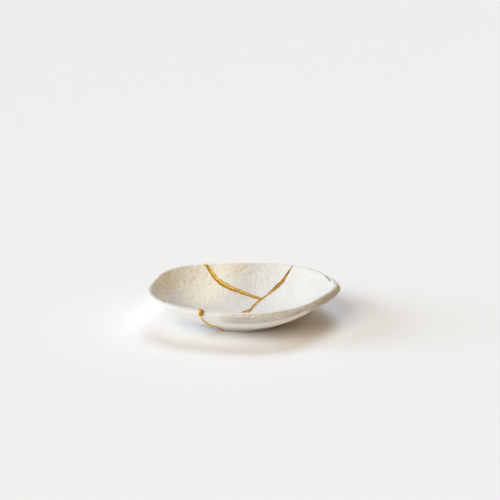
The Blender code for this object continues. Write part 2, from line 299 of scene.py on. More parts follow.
# The clay's own relief: height and width of each kind of unevenness. The coarse peel and grain are wider by
# COARSER and weaker by their shares. A pair is where pits, or all relief above the foot, begin and are full.
LUMPS = 0.00022
LUMP_WIDTH = 0.0210
DENTS = 0.00012
DENT_WIDTH = 0.0085
PEEL = 0.00036
PEEL_WIDTH = 0.0017
COARSE_PEEL = 0.8
COARSER = 1.7
PIT_DEPTH = 0.00010
PIT_WIDTH = 0.0014
PIT_RISE = (0.45, 0.80)
BAND_STEP = 0.00040
BAND_EDGE = 0.0007
BAND_GRAIN = 0.00017
BAND_GRAIN_WIDTH = 0.0011
BAND_GRAIN_STRETCH = (1.0, 1.0, 2.6)
BAND_GRAIN_SUNK = 0.4
COARSE_GRAIN = 0.6
LIP_WANDER = 0.00009
LIP_WANDER_WIDTH = 0.0060
LIP_WANDER_SUNK = 0.5
SLOW_RELIEF_ABOVE_FOOT = (0.0005, 0.0060)
FINE_RELIEF_ABOVE_FOOT = (0.0005, 0.0050)
RELIEF_BIAS = -0.00041
LATTICE = 32
LATTICE_TURN = ((0.36, 0.48, -0.80), (-0.80, 0.60, 0.0), (0.48, 0.64, 0.60))
UNSTRETCHED = (1.0, 1.0, 1.0)

# How far under the lip the rough band reaches, by direction round the dish in degrees
BAND_TURNS = (-180.0, -125.0, -113.0, -109.0, -105.0, -92.0, -80.0, -74.0, -68.0,
              -61.0, -54.0, -49.0, -43.0, -30.0, 30.0, 90.0, 140.0, 180.0)
BAND_DEPTHS = (0.0015, 0.0020, 0.0045, 0.0072, 0.0098, 0.0092, 0.0090, 0.0076, 0.0050,
               0.0026, 0.0020, 0.0034, 0.0064, 0.0080, 0.0075, 0.0055, 0.0030, 0.0015)

# Outward tells which face a place is on: -1 is the inside, -1 to 1 goes over the lip with its crest near 0,
# and 1 is the outside. Down is how far the place's reach falls short of the rim's.
BAND_BEGINS = (-0.42, -0.12)
STEP_BEGINS = (-0.42, 0.0)

# The peel is calmer in the middle and on the right, by shares that come in between two places across the
# dish, and calmer outside and just inside the crest of the lip
CALMER_MIDDLE = 0.25
MIDDLE_FROM = (-0.030, -0.010)
CALMER_RIGHT = 0.28
RIGHT_FROM = (0.010, 0.035)
CALMER_OUTSIDE = 0.6
CALMER_LIP = 0.75
CALM_LIP_MIDDLE = -0.5
CALM_LIP_SPREAD = 0.35


def lattice_noise(place, width, seed, stretch=UNSTRETCHED):
    """Soft noise from -1 to 1: seeded values at the corners of cubes of that width, mixed along each side of
    a cube by 3s^2 - 2s^3. The cubes stand askew, or upright where stretch lengthens them along an axis."""
    values = np.random.default_rng(seed).uniform(-1.0, 1.0, (LATTICE, LATTICE, LATTICE))
    scaled = place / (width * np.array(stretch))
    if stretch == UNSTRETCHED:
        scaled = scaled @ np.array(LATTICE_TURN)
    low = np.floor(scaled).astype(int)
    share = scaled - low
    share = share * share * (3.0 - 2.0 * share)
    total = np.zeros(place.shape[:-1])
    for dx in (0, 1):
        weight_x = share[..., 0] if dx else 1.0 - share[..., 0]
        for dy in (0, 1):
            weight_y = share[..., 1] if dy else 1.0 - share[..., 1]
            for dz in (0, 1):
                weight_z = share[..., 2] if dz else 1.0 - share[..., 2]
                i, j, k = np.moveaxis((low + (dx, dy, dz)) % LATTICE, -1, 0)
                total += weight_x * weight_y * weight_z * values[i, j, k]
    return total


def slow_relief(place):
    """The hand's slow lumps and dents, which the gold follows: two noises and a bias, faded at the foot."""
    lumps = LUMPS * lattice_noise(place, LUMP_WIDTH, seed=11)
    dents = DENTS * lattice_noise(place, DENT_WIDTH, seed=12)
    return (lumps + dents + RELIEF_BIAS) * smooth_rise(*SLOW_RELIEF_ABOVE_FOOT, place[..., 2])


def turn_in_degrees(angle):
    """An angle as degrees from -180 to 180."""
    return np.degrees((angle + math.pi) % (2.0 * math.pi) - math.pi)


def band_share(angle, outward, down):
    """1 on the rough band, from just past the crest of the lip to its own depth, and 0 on the rest."""
    depth = np.interp(turn_in_degrees(angle), BAND_TURNS, BAND_DEPTHS)
    return smooth_rise(*BAND_BEGINS, outward) * (1.0 - smooth_rise(-BAND_EDGE, BAND_EDGE, down - depth))


# The chip in the lip at the back right: a thin flake is lost, with a step where it broke off, and the step's
# shadow is painted dark along it. Its line is direction in degrees and distance down the inside from the end
# of the lip, less than 0 on the lip itself.
# The ends are the directions between which the step and the flake come in and go out.
CHIP_LINE = ((13.0, 0.00135), (20.0, 0.00073), (24.5, 0.00015), (28.5, -0.0009), (32.5, -0.0021))
CHIP_DEPTH = 0.00065
CHIP_WIDTH = 0.00042
CHIP_ENDS = ((12.0, 15.0), (30.5, 32.5))
FLAKE_DEPTH = 0.00110
FLAKE_ENDS = ((-8.0, 10.0), (29.0, 36.0))
FLAKE_EASE = 0.0010
FLAKE_EASE_OUTSIDE = 0.0040
LIP_ARC = 0.5 * math.pi * WALL


def between_ends(ends, degrees):
    """A rise at the first of two ends times a fall at the second."""
    return smooth_rise(*ends[0], degrees) * (1.0 - smooth_rise(*ends[1], degrees))


def inside_chip_line(angle, outward, down):
    """How far inside the chip's line a place lies, in metres; less than 0 outside it, over the lip."""
    turns, depths = zip(*CHIP_LINE)
    over_lip = 0.5 * LIP_ARC * (1.0 + outward)
    return np.where(outward > -1.0, -over_lip, down) - np.interp(turn_in_degrees(angle), turns, depths)


def chip_share(angle, outward, down):
    """1 along the chip's step and 0 off it: a bell across its line, faded at both ends."""
    ends = between_ends(CHIP_ENDS, turn_in_degrees(angle))
    return ends * bell(inside_chip_line(angle, outward, down), 0.0, CHIP_WIDTH)


def flake_share(angle, outward, down):
    """1 where the flake is lost, over the lip outside the chip's line, eased to 0 all round."""
    ends = between_ends(FLAKE_ENDS, turn_in_degrees(angle))
    past_line = smooth_rise(0.0, FLAKE_EASE, -inside_chip_line(angle, outward, down)) * (outward > -1.0)
    return ends * past_line * (1.0 - smooth_rise(0.0, FLAKE_EASE_OUTSIDE, down) * (outward == 1.0))


def fine_relief(place, angle, outward, down):
    """Two heights: of the orange peel, pits and grain alone, and of those with the step under the band, the
    lip's wander and the chip."""
    across = place[..., 0]
    band = band_share(angle, outward, down)
    outside = smooth_rise(*STEP_BEGINS, outward)
    peel = lattice_noise(place, PEEL_WIDTH, seed=13)
    peel = PEEL * (peel + COARSE_PEEL * lattice_noise(place, COARSER * PEEL_WIDTH, seed=14))
    calm = 1.0 - CALMER_MIDDLE * smooth_rise(*MIDDLE_FROM, across)
    calm = calm - CALMER_RIGHT * smooth_rise(*RIGHT_FROM, across)
    calm = calm * (1.0 - CALMER_OUTSIDE * outside)
    calm = calm * (1.0 - CALMER_LIP * bell(outward, CALM_LIP_MIDDLE, CALM_LIP_SPREAD))
    pits = -PIT_DEPTH * smooth_rise(*PIT_RISE, lattice_noise(place, PIT_WIDTH, seed=15))
    streaks = lattice_noise(place, BAND_GRAIN_WIDTH, seed=16, stretch=BAND_GRAIN_STRETCH) - BAND_GRAIN_SUNK
    coarse_grain = COARSE_GRAIN * lattice_noise(place, COARSER * BAND_GRAIN_WIDTH, seed=17)
    grain = BAND_GRAIN * band * (streaks + coarse_grain)
    step = BAND_STEP * (band - outside)
    wander = lattice_noise(place, LIP_WANDER_WIDTH, seed=18) - LIP_WANDER_SUNK
    wander = LIP_WANDER * (1.0 - np.abs(outward)) * wander
    chip = -CHIP_DEPTH * chip_share(angle, outward, down) - FLAKE_DEPTH * flake_share(angle, outward, down)
    above_foot = smooth_rise(*FINE_RELIEF_ABOVE_FOOT, place[..., 2])
    texture = above_foot * (calm * (peel + pits) + grain)
    return texture, texture + above_foot * (step + wander) + chip


# Where the clay's tones lie. A pair is where one comes in and where it is full: directions in degrees,
# reaches and places across and towards the back in metres, and places over the lip as outward tells them.
INSIDE_TONES_END = (-0.55, -0.40)
OUTSIDE_TONES_BEGIN = (-0.42, -0.10)
CREST_MIDDLE = -0.1
CREST_SPREAD = 0.5
CLOUD_WIDTH = 0.013
MOTTLE_WIDTH = 0.0036

# Warm inside: on the left near the rim partly a fired tint and partly painted warm shade under the left rim;
# at the back a tint
WARM_LEFT = 162.0
WARM_SPREAD_BACKWARDS = 30.0
WARM_SPREAD_FORWARDS = 38.0
WARM_LOW = 0.20
WARM_LOW_REACH = (0.034, 0.050)
WARM_HIGH = 0.80
WARM_HIGH_REACH = (0.057, 0.066)
WARM_BACK = 92.0
WARM_BACK_SPREAD = 8.0
WARM_BACK_REACH = (0.058, 0.070)
WARM_BACK_SHARE = 0.45

# A painted pool of warm light on the inside, left of the middle, in a warm light yellow
LIGHT_PATCH_MIDDLE = -0.038
LIGHT_PATCH_SLANT = 0.35
LIGHT_PATCH_SLANT_FROM = 0.014
LIGHT_PATCH_SPREAD_LEFT = 0.028
LIGHT_PATCH_SPREAD_RIGHT = 0.0145
LIGHT_PATCH_BACKWARDS = (-0.006, 0.030)

GREY_MIDDLE = -0.001
GREY_SPREAD = 0.013
GREY_BACKWARDS = (0.010, 0.045)
GREY_RIGHT = 0.55
GREY_RIGHT_FROM = (0.044, 0.066)
# Painted shade on the crest of the lip at the left and front left, in a darker neutral tone
PAINTED_SHADE_ON_CREST = 0.9
PAINTED_SHADE_CREST_ENDS = ((160.0, 190.0), (245.0, 275.0))

# Where on the lip the beige begins, by direction in degrees
BEIGE_TURNS = (-106.0, -90.0, -60.0, -30.0, 20.0, 60.0)
BEIGE_BEGINS = (0.35, -0.10, -0.40, -0.58, -0.62, -0.42)
BEIGE_RISE = 0.30
BEIGE_ENDS = ((-110.0, -93.0), (100.0, 150.0))
BEIGE_UNDER_BAND = -0.1
BEIGE_LEAST = 0.61
BEIGE_MOTTLED = 0.34

# Ochre stains on the band: direction in degrees, distance down from the end of the lip (less than 0 on it),
# half length in degrees, half width, slant in metres for each degree, and strength
OCHRE_STAINS = (
    (-61.0, 0.0012, 4.5, 0.00070, -0.00030, 0.85), (-59.5, 0.0012, 1.0, 0.00060, 0.0, 0.80),
    (-60.0, 0.0024, 7.0, 0.00160, -0.00030, 0.60), (-44.0, 0.0004, 5.0, 0.00080, -0.00020, 0.80),
    (-87.5, 0.0008, 1.6, 0.00130, 0.0, 0.55), (-34.0, -0.0012, 6.0, 0.00070, -0.00014, 0.50),
)
OCHRE_SPOTS = 0.20
OCHRE_SPOT_WIDTH = 0.0034
OCHRE_SPOT_RISE = (0.50, 0.80)

# How strong the warm tint and the painted shade and grime are: all over, in the hollows, and where another
# tone or place brings them. The warm tint is partly painted warm shade.
WARMTH_EVEN = 0.25
WARMTH_MOTTLED = 0.20
WARMTH_ON_BEIGE = 0.35
WARMTH_ON_BEIGE_CLOUDED = 0.25
WARMTH_OUTSIDE = 0.05
WARMTH_OUTSIDE_RIGHT = 0.60
WARMTH_OUTSIDE_FROM = (0.010, 0.045)
FAR_RIGHT_FROM = (0.042, 0.068)
FRONT_UNTIL = (0.015, 0.040)
# Painted shade and grime in the peel's hollows, and how much more of it on the band and on the warm left
SHADE_AND_DIRT_IN_HOLLOWS = 0.42
SHADE_AND_DIRT_DEPTHS = (0.00010, 0.00036)
HOLLOW_SHADE_AND_DIRT_EVEN = 0.22
HOLLOW_SHADE_AND_DIRT_ON_BEIGE = 0.78
HOLLOW_SHADE_AND_DIRT_ON_WARM = 0.20
# Painted shade on the band: darker on its right, away from the light, and on its crest at the front
PAINTED_SHADE_FAR_RIGHT = 0.38
PAINTED_SHADE_FRONT_CREST = 0.20
# Lighter outside: partly the clay's lighter tone, partly painted light bounced from the floor
PALE_AND_PAINTED_LIGHT_FROM = (0.20, 1.0)


def warm_tint_and_shade_share(degrees, reach):
    """Where the inside is warm: a bell of directions on the left, faint low down and strong near the rim,
    partly a fired tint and partly painted warm shade under the left rim, and a narrow bell at the back, a
    fired tint."""
    spread = np.where(degrees < WARM_LEFT, WARM_SPREAD_BACKWARDS, WARM_SPREAD_FORWARDS)
    low = WARM_LOW * smooth_rise(*WARM_LOW_REACH, reach)
    high = WARM_HIGH * smooth_rise(*WARM_HIGH_REACH, reach)
    left = bell(degrees, WARM_LEFT, spread) * (low + high)
    back = bell(degrees, WARM_BACK, WARM_BACK_SPREAD) * smooth_rise(*WARM_BACK_REACH, reach)
    return left, left + WARM_BACK_SHARE * back


def painted_light_patch_share(across, backwards):
    """A painted pool of warm light left of the middle, in a warm light yellow: a bell across a slanting line,
    wider on its left, faded towards the front.
    """
    from_line = across - (LIGHT_PATCH_MIDDLE + LIGHT_PATCH_SLANT * (backwards - LIGHT_PATCH_SLANT_FROM))
    spread = np.where(from_line < 0.0, LIGHT_PATCH_SPREAD_LEFT, LIGHT_PATCH_SPREAD_RIGHT)
    return bell(from_line, 0.0, spread) * smooth_rise(*LIGHT_PATCH_BACKWARDS, backwards)


def grey_share(across, backwards):
    """Grey in the middle towards the back, a bell across, and on the right, where it rises."""
    middle = bell(across, GREY_MIDDLE, GREY_SPREAD) * smooth_rise(*GREY_BACKWARDS, backwards)
    return middle + GREY_RIGHT * smooth_rise(*GREY_RIGHT_FROM, across)


def beige_share(turned, outward, band):
    """Beige from where it begins on the lip, under its crest only on the band, faded round at both ends."""
    start = np.interp(turned, BEIGE_TURNS, BEIGE_BEGINS)
    beige = smooth_rise(start, start + BEIGE_RISE, outward) * between_ends(BEIGE_ENDS, turned)
    return beige * np.where(outward > BEIGE_UNDER_BAND, band, 1.0)


def ochre_share(place, turned, outward, down, outside, beige):
    """Ochre in small spots over the beige and in the stains, each a bell along and across its own line."""
    across = np.where(outward < 1.0, -0.5 * LIP_ARC * (1.0 - outward), down)
    spots = smooth_rise(*OCHRE_SPOT_RISE, lattice_noise(place, OCHRE_SPOT_WIDTH, seed=23))
    ochre = OCHRE_SPOTS * beige * spots
    for turn, depth, half_length, half_width, slant, strength in OCHRE_STAINS:
        along = (turned - turn) / half_length
        off = (across - depth - slant * (turned - turn)) / half_width
        ochre = ochre + strength * outside * np.exp(-along ** 2 - off ** 2)
    return ochre


def clay_masks(place, angle, outward, down, texture):
    """The share of each tone: where the clay is warm, partly a fired tint and partly painted warm shade; a
    painted pool of warm light inside; a darker neutral tone, with painted shade on the lip at the left; where
    it is lighter outside, partly painted light; where the band is beige; where ochre has stained it; and
    painted shade with some grime in its hollows, painted shadow on its chip's step, and painted shade on the
    band's right and front crest."""
    turned = turn_in_degrees(angle)
    degrees = turned % 360.0
    inside = 1.0 - smooth_rise(*INSIDE_TONES_END, outward)
    outside = smooth_rise(*OUTSIDE_TONES_BEGIN, outward)
    on_crest = bell(outward, CREST_MIDDLE, CREST_SPREAD)
    far_right = smooth_rise(*FAR_RIGHT_FROM, place[..., 0])
    at_front = 1.0 - smooth_rise(*FRONT_UNTIL, place[..., 0])
    band = band_share(angle, outward, down)
    cloud = 0.5 + 0.5 * lattice_noise(place, CLOUD_WIDTH, seed=21)
    mottle = 0.5 + 0.5 * lattice_noise(place, MOTTLE_WIDTH, seed=22)
    # How far down in the peel's hollows a place is: the hollows get painted shade and grime, and more warm
    # tint
    hollow = np.clip(0.5 - texture / (2.0 * PEEL), 0.0, 1.0)

    # Painted light: the warm pool of light on the inside
    painted_light_patch = inside * painted_light_patch_share(place[..., 0], place[..., 1])
    grey_and_lip_shade = inside * grey_share(place[..., 0], place[..., 1])
    # Painted shade on the lit crest of the lip at the left and front left
    grey_and_lip_shade += PAINTED_SHADE_ON_CREST * on_crest * between_ends(PAINTED_SHADE_CREST_ENDS, degrees)
    beige = beige_share(turned, outward, band)
    ochre = ochre_share(place, turned, outward, down, outside, beige)
    # Lighter outside, off the band: partly its own tone, partly painted light bounced from the floor
    pale_and_painted_light = smooth_rise(*PALE_AND_PAINTED_LIGHT_FROM, outward) * (1.0 - beige)

    left_warm_tint_and_shade, warm = warm_tint_and_shade_share(degrees, RIM_RADIUS - down)
    # Warm tint, partly painted warm shade: on the left inside under the rim, in the hollows, and on the right
    # outside, in shade
    warm_tint_and_shade = inside * warm * (WARMTH_EVEN + WARMTH_MOTTLED * mottle + hollow)
    warm_tint_and_shade += beige * far_right * (WARMTH_ON_BEIGE + WARMTH_ON_BEIGE_CLOUDED * cloud)
    toast_outside = WARMTH_OUTSIDE + WARMTH_OUTSIDE_RIGHT * smooth_rise(*WARMTH_OUTSIDE_FROM, place[..., 0])
    warm_tint_and_shade += toast_outside * outside * (1.0 - band) * cloud

    # Painted shade and grime in the peel's hollows
    painted_shade_and_dirt = SHADE_AND_DIRT_IN_HOLLOWS * smooth_rise(*SHADE_AND_DIRT_DEPTHS, -texture)
    painted_shade_and_dirt *= HOLLOW_SHADE_AND_DIRT_EVEN + HOLLOW_SHADE_AND_DIRT_ON_BEIGE * beige + HOLLOW_SHADE_AND_DIRT_ON_WARM * left_warm_tint_and_shade
    # Painted shadow along the chip's step
    painted_shade_and_dirt += chip_share(angle, outward, down)
    # Painted shade on the band's right side and on its crest at the front
    painted_shade_and_dirt += beige * (PAINTED_SHADE_FAR_RIGHT * far_right + PAINTED_SHADE_FRONT_CREST * on_crest * at_front)

    beige = beige * (BEIGE_LEAST + BEIGE_MOTTLED * mottle)
    masks = {"warm_tint_and_shade": warm_tint_and_shade, "painted_light_patch": painted_light_patch, "grey_and_lip_shade": grey_and_lip_shade, "pale_and_painted_light": pale_and_painted_light,
             "beige": beige, "ochre": ochre, "painted_shade_and_dirt": painted_shade_and_dirt}
    return {name: np.clip(mask, 0.0, 1.0) for name, mask in masks.items()}


def pressed(face, first, angle, outward, down):
    """A grid of one face with its relief, and its masks: the smooth face is found first, then lifted by what
    lies there. First is the face's own first parameter, a reach or, on the lip, a turn."""
    smooth = face(first, angle, np.zeros_like(first))
    texture, fine = fine_relief(smooth, angle, outward, down)
    raised = face(first, angle, slow_relief(smooth) + fine)
    return raised, clay_masks(smooth, angle, outward, down, texture)


def grid_faces(rows, columns, start):
    """The four corners of each cell of a grid whose vertices are numbered row by row from start."""
    corner = start + np.arange(rows - 1)[:, None] * columns + np.arange(columns - 1)[None, :]
    return np.stack((corner, corner + columns, corner + columns + 1, corner + 1), axis=-1).reshape(-1, 4)


WELD_DISTANCE = 0.000001
CRISP_ANGLE = math.radians(38.0)


def sewn_mesh(name, grids, masks):
    """Grids of points as one closed mesh: a face for each cell, points that fall together welded, and the
    whole turned to face outwards. Masks are values for each point, kept as attributes."""
    points = np.concatenate([grid.reshape(-1, 3) for grid in grids]) + (FOOT_CENTRE_X, FOOT_CENTRE_Y, 0.0)
    starts = np.cumsum([0] + [grid.shape[0] * grid.shape[1] for grid in grids])
    faces = np.concatenate([grid_faces(*grid.shape[:2], start) for grid, start in zip(grids, starts)])
    mesh = bpy.data.meshes.new(name)
    mesh.from_pydata(points.tolist(), [], faces.tolist())
    for mask, parts in masks.items():
        values = np.concatenate([part.ravel() for part in parts]).astype(np.float32)
        mesh.attributes.new(mask, "FLOAT", "POINT").data.foreach_set("value", values)
    shape = bmesh.new()
    shape.from_mesh(mesh)
    bmesh.ops.remove_doubles(shape, verts=shape.verts, dist=WELD_DISTANCE)
    bmesh.ops.recalc_face_normals(shape, faces=shape.faces)
    shape.to_mesh(mesh)
    shape.free()
    mesh.shade_smooth()
    mesh.set_sharp_from_angle(angle=CRISP_ANGLE)
    piece = bpy.data.objects.new(name, mesh)
    bpy.context.scene.collection.objects.link(piece)
    return piece


LIP_STEPS = 16
BREAK_ROUGHNESS = 0.00008
BREAK_GRAIN_WIDTH = 0.0012
BREAK_FADE = 0.2
TINY = 1e-12


def broken_face(inner_edge, lip_arc, outer_edge):
    """The broken edge of a shard: straight lines from the inside to the outside through the wall, a little
    rough in the middle. The line at the corner stays straight, and the last is the lip's arc."""
    across = np.linspace(0.0, 1.0, len(lip_arc))[None, :, None]
    wall = inner_edge[:, None, :] * (1.0 - across) + outer_edge[:, None, :] * across
    grain = lattice_noise(wall, BREAK_GRAIN_WIDTH, seed=31)[..., None]
    rough = BREAK_ROUGHNESS * grain * np.sin(math.pi * across)
    fade = np.linspace(1.0, 0.0, len(inner_edge))[:, None, None] ** BREAK_FADE
    way = np.gradient(wall, axis=0)
    aside = np.stack((way[..., 1], -way[..., 0], np.zeros_like(way[..., 0])), axis=-1)
    aside /= np.linalg.norm(aside, axis=-1, keepdims=True) + TINY
    wall = wall + aside * rough * fade
    wall[0] = inner_edge[0] * (1.0 - across[0]) + outer_edge[0] * across[0]
    wall[-1] = lip_arc
    return wall


# Less than 1 crowds a shard's rows towards the rim
ROW_CROWDING = 0.92


def make_shard(name, first_crack, second_crack, columns, rows, clay):
    """A shard sewn from its inside, lip and outside grids and its two broken edges, with the clay's masks."""
    shares = np.linspace(0.0, 1.0, rows) ** ROW_CROWDING
    parts = []
    inner_reach, inner_angle = shard_patch(inner_face, first_crack, second_crack, shares, columns)
    inside = np.full_like(inner_reach, -1.0)
    parts.append(pressed(inner_face, inner_reach, inner_angle, inside, RIM_RADIUS - inner_reach))
    outer_reach, outer_angle = shard_patch(outer_face, first_crack, second_crack, shares, columns)
    outside = np.full_like(outer_reach, 1.0)
    turn = np.linspace(0.0, 1.0, LIP_STEPS + 1)[:, None] * np.ones((1, columns))
    lip_angle = inner_angle[-1] * (1.0 - turn) + outer_angle[-1] * turn
    parts.append(pressed(lip_face, turn, lip_angle, 2.0 * turn - 1.0, np.zeros_like(turn)))
    parts.append(pressed(outer_face, outer_reach, outer_angle, outside, RIM_RADIUS - outer_reach))
    grids = [part[0] for part in parts]
    grids[1][0] = grids[0][-1]
    grids[1][-1] = grids[2][-1]
    masks = {mask: [part[1][mask] for part in parts] for mask in parts[0][1]}
    for side in (0, -1):
        wall = broken_face(grids[0][:, side], grids[1][:, side], grids[2][:, side])
        grids.append(wall)
        for values in masks.values():
            values.append(np.zeros(wall.shape[:2]))
    piece = sewn_mesh(name, grids, masks)
    piece.data.materials.append(clay)
    return piece


def new_finish(name):
    """A new material, with its nodes and its main shader."""
    material = bpy.data.materials.new(name)
    material.use_nodes = True
    tree = material.node_tree
    return material, tree, tree.nodes["Principled BSDF"]


def add_node(tree, kind, **settings):
    """A shader node of that kind with these settings."""
    node = tree.nodes.new(kind)
    for key, value in settings.items():
        setattr(node, key, value)
    return node


def kept_mask(tree, name):
    """A mask kept on the mesh under that name, as a value from 0 to 1."""
    return add_node(tree, "ShaderNodeAttribute", attribute_name=name).outputs["Fac"]


def noise_of(tree, place, scale, detail, roughness=0.5):
    """Soft noise over a place, as a value from 0 to 1, with finer and weaker noise added for its detail."""
    noise = add_node(tree, "ShaderNodeTexNoise")
    noise.inputs["Scale"].default_value = scale
    noise.inputs["Detail"].default_value = detail
    noise.inputs["Roughness"].default_value = roughness
    tree.links.new(place, noise.inputs["Vector"])
    return noise.outputs["Fac"]


def remap(tree, value, low, high, to_low, to_high):
    """The value's range from low to high carried to another range by 3s^2 - 2s^3, and held at its ends."""
    node = add_node(tree, "ShaderNodeMapRange", interpolation_type="SMOOTHSTEP")
    for socket, number in zip(("From Min", "From Max", "To Min", "To Max"), (low, high, to_low, to_high)):
        node.inputs[socket].default_value = number
    tree.links.new(value, node.inputs["Value"])
    return node.outputs["Result"]


def mix_colours(tree, share, first, second):
    """The first colour less the share of it, plus the share of the second; the first may be a socket."""
    node = add_node(tree, "ShaderNodeMix", data_type="RGBA")
    tree.links.new(share, node.inputs[0])
    if isinstance(first, tuple):
        node.inputs[6].default_value = (*first, 1.0)
    else:
        tree.links.new(first, node.inputs[6])
    node.inputs[7].default_value = (*second, 1.0)
    return node.outputs[2]


def times(tree, first, second):
    """Two values multiplied; the second may be a plain number."""
    node = add_node(tree, "ShaderNodeMath", operation="MULTIPLY")
    tree.links.new(first, node.inputs[0])
    if isinstance(second, float):
        node.inputs[1].default_value = second
    else:
        tree.links.new(second, node.inputs[1])
    return node.outputs[0]


def add_bump(tree, shader, height, strength, distance):
    """The shader's normal tilted as by a surface that rises by the height times the distance in metres."""
    bump = add_node(tree, "ShaderNodeBump")
    bump.inputs["Strength"].default_value = strength
    bump.inputs["Distance"].default_value = distance
    tree.links.new(height, bump.inputs["Height"])
    tree.links.new(bump.outputs["Normal"], shader.inputs["Normal"])


CLAY_WHITE = (0.745, 0.745, 0.735)
CLAY_CLOUD = (0.680, 0.680, 0.665)
CLAY_GREY_AND_LIP_SHADE = (0.640, 0.645, 0.630)
# Warm light yellow for the painted pool of light inside
CLAY_PAINTED_LIGHT_CREAM = (0.950, 0.925, 0.845)
CLAY_PALE_AND_PAINTED_LIGHT = (0.960, 0.958, 0.945)
CLAY_BEIGE = (0.655, 0.600, 0.525)
CLAY_WARM_TINT_AND_SHADE = (0.760, 0.630, 0.410)
CLAY_OCHRE = (0.38, 0.26, 0.12)
# Dark for painted shade and grime
CLAY_SHADE_AND_DIRT = (0.27, 0.21, 0.15)
CLAY_SPECK = (0.30, 0.24, 0.17)
STREAK_STRETCH = (1.0, 1.0, 0.30)
STREAK_IN_BUMP = 1.3


def clay_material():
    """Matt off-white clay: cloudy white, lighter outside, partly painted light; a painted pool of warm light
    inside;
    darker neutral patches, with painted shade on the lip at the left; a warm tint, partly painted warm shade;
    ochre stains; painted shade and grime in the hollows, on the chip's step and on the band; a few iron
    specks;
    and a fine grain in the bump, darker where it is low."""
    material, tree, shader = new_finish("matt_off_white_clay")
    place = add_node(tree, "ShaderNodeTexCoord").outputs["Object"]
    streak_place = add_node(tree, "ShaderNodeMapping")
    streak_place.inputs["Scale"].default_value = STREAK_STRETCH
    tree.links.new(place, streak_place.inputs["Vector"])
    cloud = noise_of(tree, place, scale=60.0, detail=4.0)
    grain = noise_of(tree, place, scale=900.0, detail=5.0, roughness=0.7)
    streak = noise_of(tree, streak_place.outputs["Vector"], scale=780.0, detail=3.0, roughness=0.65)
    fleck = noise_of(tree, place, scale=380.0, detail=2.0)

    colour = mix_colours(tree, remap(tree, cloud, 0.40, 0.70, 0.0, 0.55), CLAY_WHITE, CLAY_CLOUD)
    # Darker neutral patches, and painted shade on the lip at the left
    colour = mix_colours(tree, kept_mask(tree, "grey_and_lip_shade"), colour, CLAY_GREY_AND_LIP_SHADE)
    # Lighter outside: partly its own tone, partly painted light
    colour = mix_colours(tree, kept_mask(tree, "pale_and_painted_light"), colour, CLAY_PALE_AND_PAINTED_LIGHT)
    # Painted light: the warm pool of light on the inside
    colour = mix_colours(tree, kept_mask(tree, "painted_light_patch"), colour, CLAY_PAINTED_LIGHT_CREAM)
    beige = times(tree, kept_mask(tree, "beige"), remap(tree, streak, 0.36, 0.60, 0.35, 1.35))
    colour = mix_colours(tree, beige, colour, CLAY_BEIGE)
    # Warm tint, partly painted warm shade
    warm_tint_and_shade_streaked = times(tree, kept_mask(tree, "warm_tint_and_shade"), remap(tree, streak, 0.34, 0.66, 0.55, 1.15))
    colour = mix_colours(tree, warm_tint_and_shade_streaked, colour, CLAY_WARM_TINT_AND_SHADE)
    ochre = times(tree, kept_mask(tree, "ochre"), remap(tree, grain, 0.35, 0.65, 0.65, 1.0))
    colour = mix_colours(tree, ochre, colour, CLAY_OCHRE)
    # Painted shade and grime: in the hollows, on the chip's step, and on the band's right and front crest
    colour = mix_colours(tree, kept_mask(tree, "painted_shade_and_dirt"), colour, CLAY_SHADE_AND_DIRT)
    colour = mix_colours(tree, remap(tree, fleck, 0.72, 0.78, 0.0, 0.30), colour, CLAY_SPECK)
    # Darker where the grain's bump is low: painted shade and grime in its fine hollows
    colour = mix_colours(tree, remap(tree, grain, 0.30, 0.55, 0.09, 0.0), colour, CLAY_SHADE_AND_DIRT)
    tree.links.new(colour, shader.inputs["Base Color"])
    tree.links.new(remap(tree, grain, 0.3, 0.7, 0.76, 0.94), shader.inputs["Roughness"])
    shader.inputs["Specular IOR Level"].default_value = 0.22

    height = add_node(tree, "ShaderNodeMath", operation="ADD")
    tree.links.new(times(tree, streak, STREAK_IN_BUMP), height.inputs[0])
    tree.links.new(grain, height.inputs[1])
    add_bump(tree, shader, height.outputs[0], strength=0.60, distance=0.00022)
    return material


clay = clay_material()

left_shard = make_shard("left_shard_clay", CRACK_TO_BACK_LEFT, CRACK_TO_FRONT,
                        columns=320, rows=125, clay=clay)
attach(left_shard, "root")
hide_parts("left_shard")

right_shard = make_shard("right_shard_clay", CRACK_TO_FRONT, CRACK_TO_BACK_RIGHT,
                         columns=415, rows=105, clay=clay)
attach(right_shard, "root")
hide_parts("right_shard")

back_shard = make_shard("back_shard_clay", CRACK_TO_BACK_RIGHT, CRACK_TO_BACK_LEFT,
                        columns=140, rows=85, clay=clay)
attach(back_shard, "root")
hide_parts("back_shard")

# The gold seam
# Lacquer dusted with gold powder fills the three cracks, laid on with a brush: a proud, uneven line inside
# and a thinner one outside, joined over the lip. It has pooled where the cracks meet and run at the front.

LINE_STEP = 0.00030
FEWEST_STEPS = 8
GOLD_SPREAD = 1.22
GOLD_CROWN_SHARE = 0.30
GOLD_CROWN_MOST = 0.00095
GOLD_CROWN_ON_LIP = 0.70
GOLD_SINK = 0.00012
GOLD_ROOT = 0.00040
GOLD_LEAST_HEIGHT = 0.00030
NOSE_RUN = 0.0014
DOME_POINTS = 13
DOME_FULLNESS = 0.8
ROOT_HALF_WIDTH = 0.62
RAGGED_WIDTH = 0.15
RAGGED_RUN = 0.0016
FINE_RAG = 0.6
FINE_RAG_RUN = 0.45 * RAGGED_RUN
RAGGED_HEIGHT = 0.12
RAGGED_HEIGHT_WIDTH = 0.0019
FINE_HEIGHT = 0.5
FINE_HEIGHT_WIDTH = 0.0008
RIM_TURN_RUN = 0.0080
# Where the painted shade on the gold inside begins and is full, by distance from the rim
PAINTED_SHADE_FROM_RIM = (0.009, 0.018)

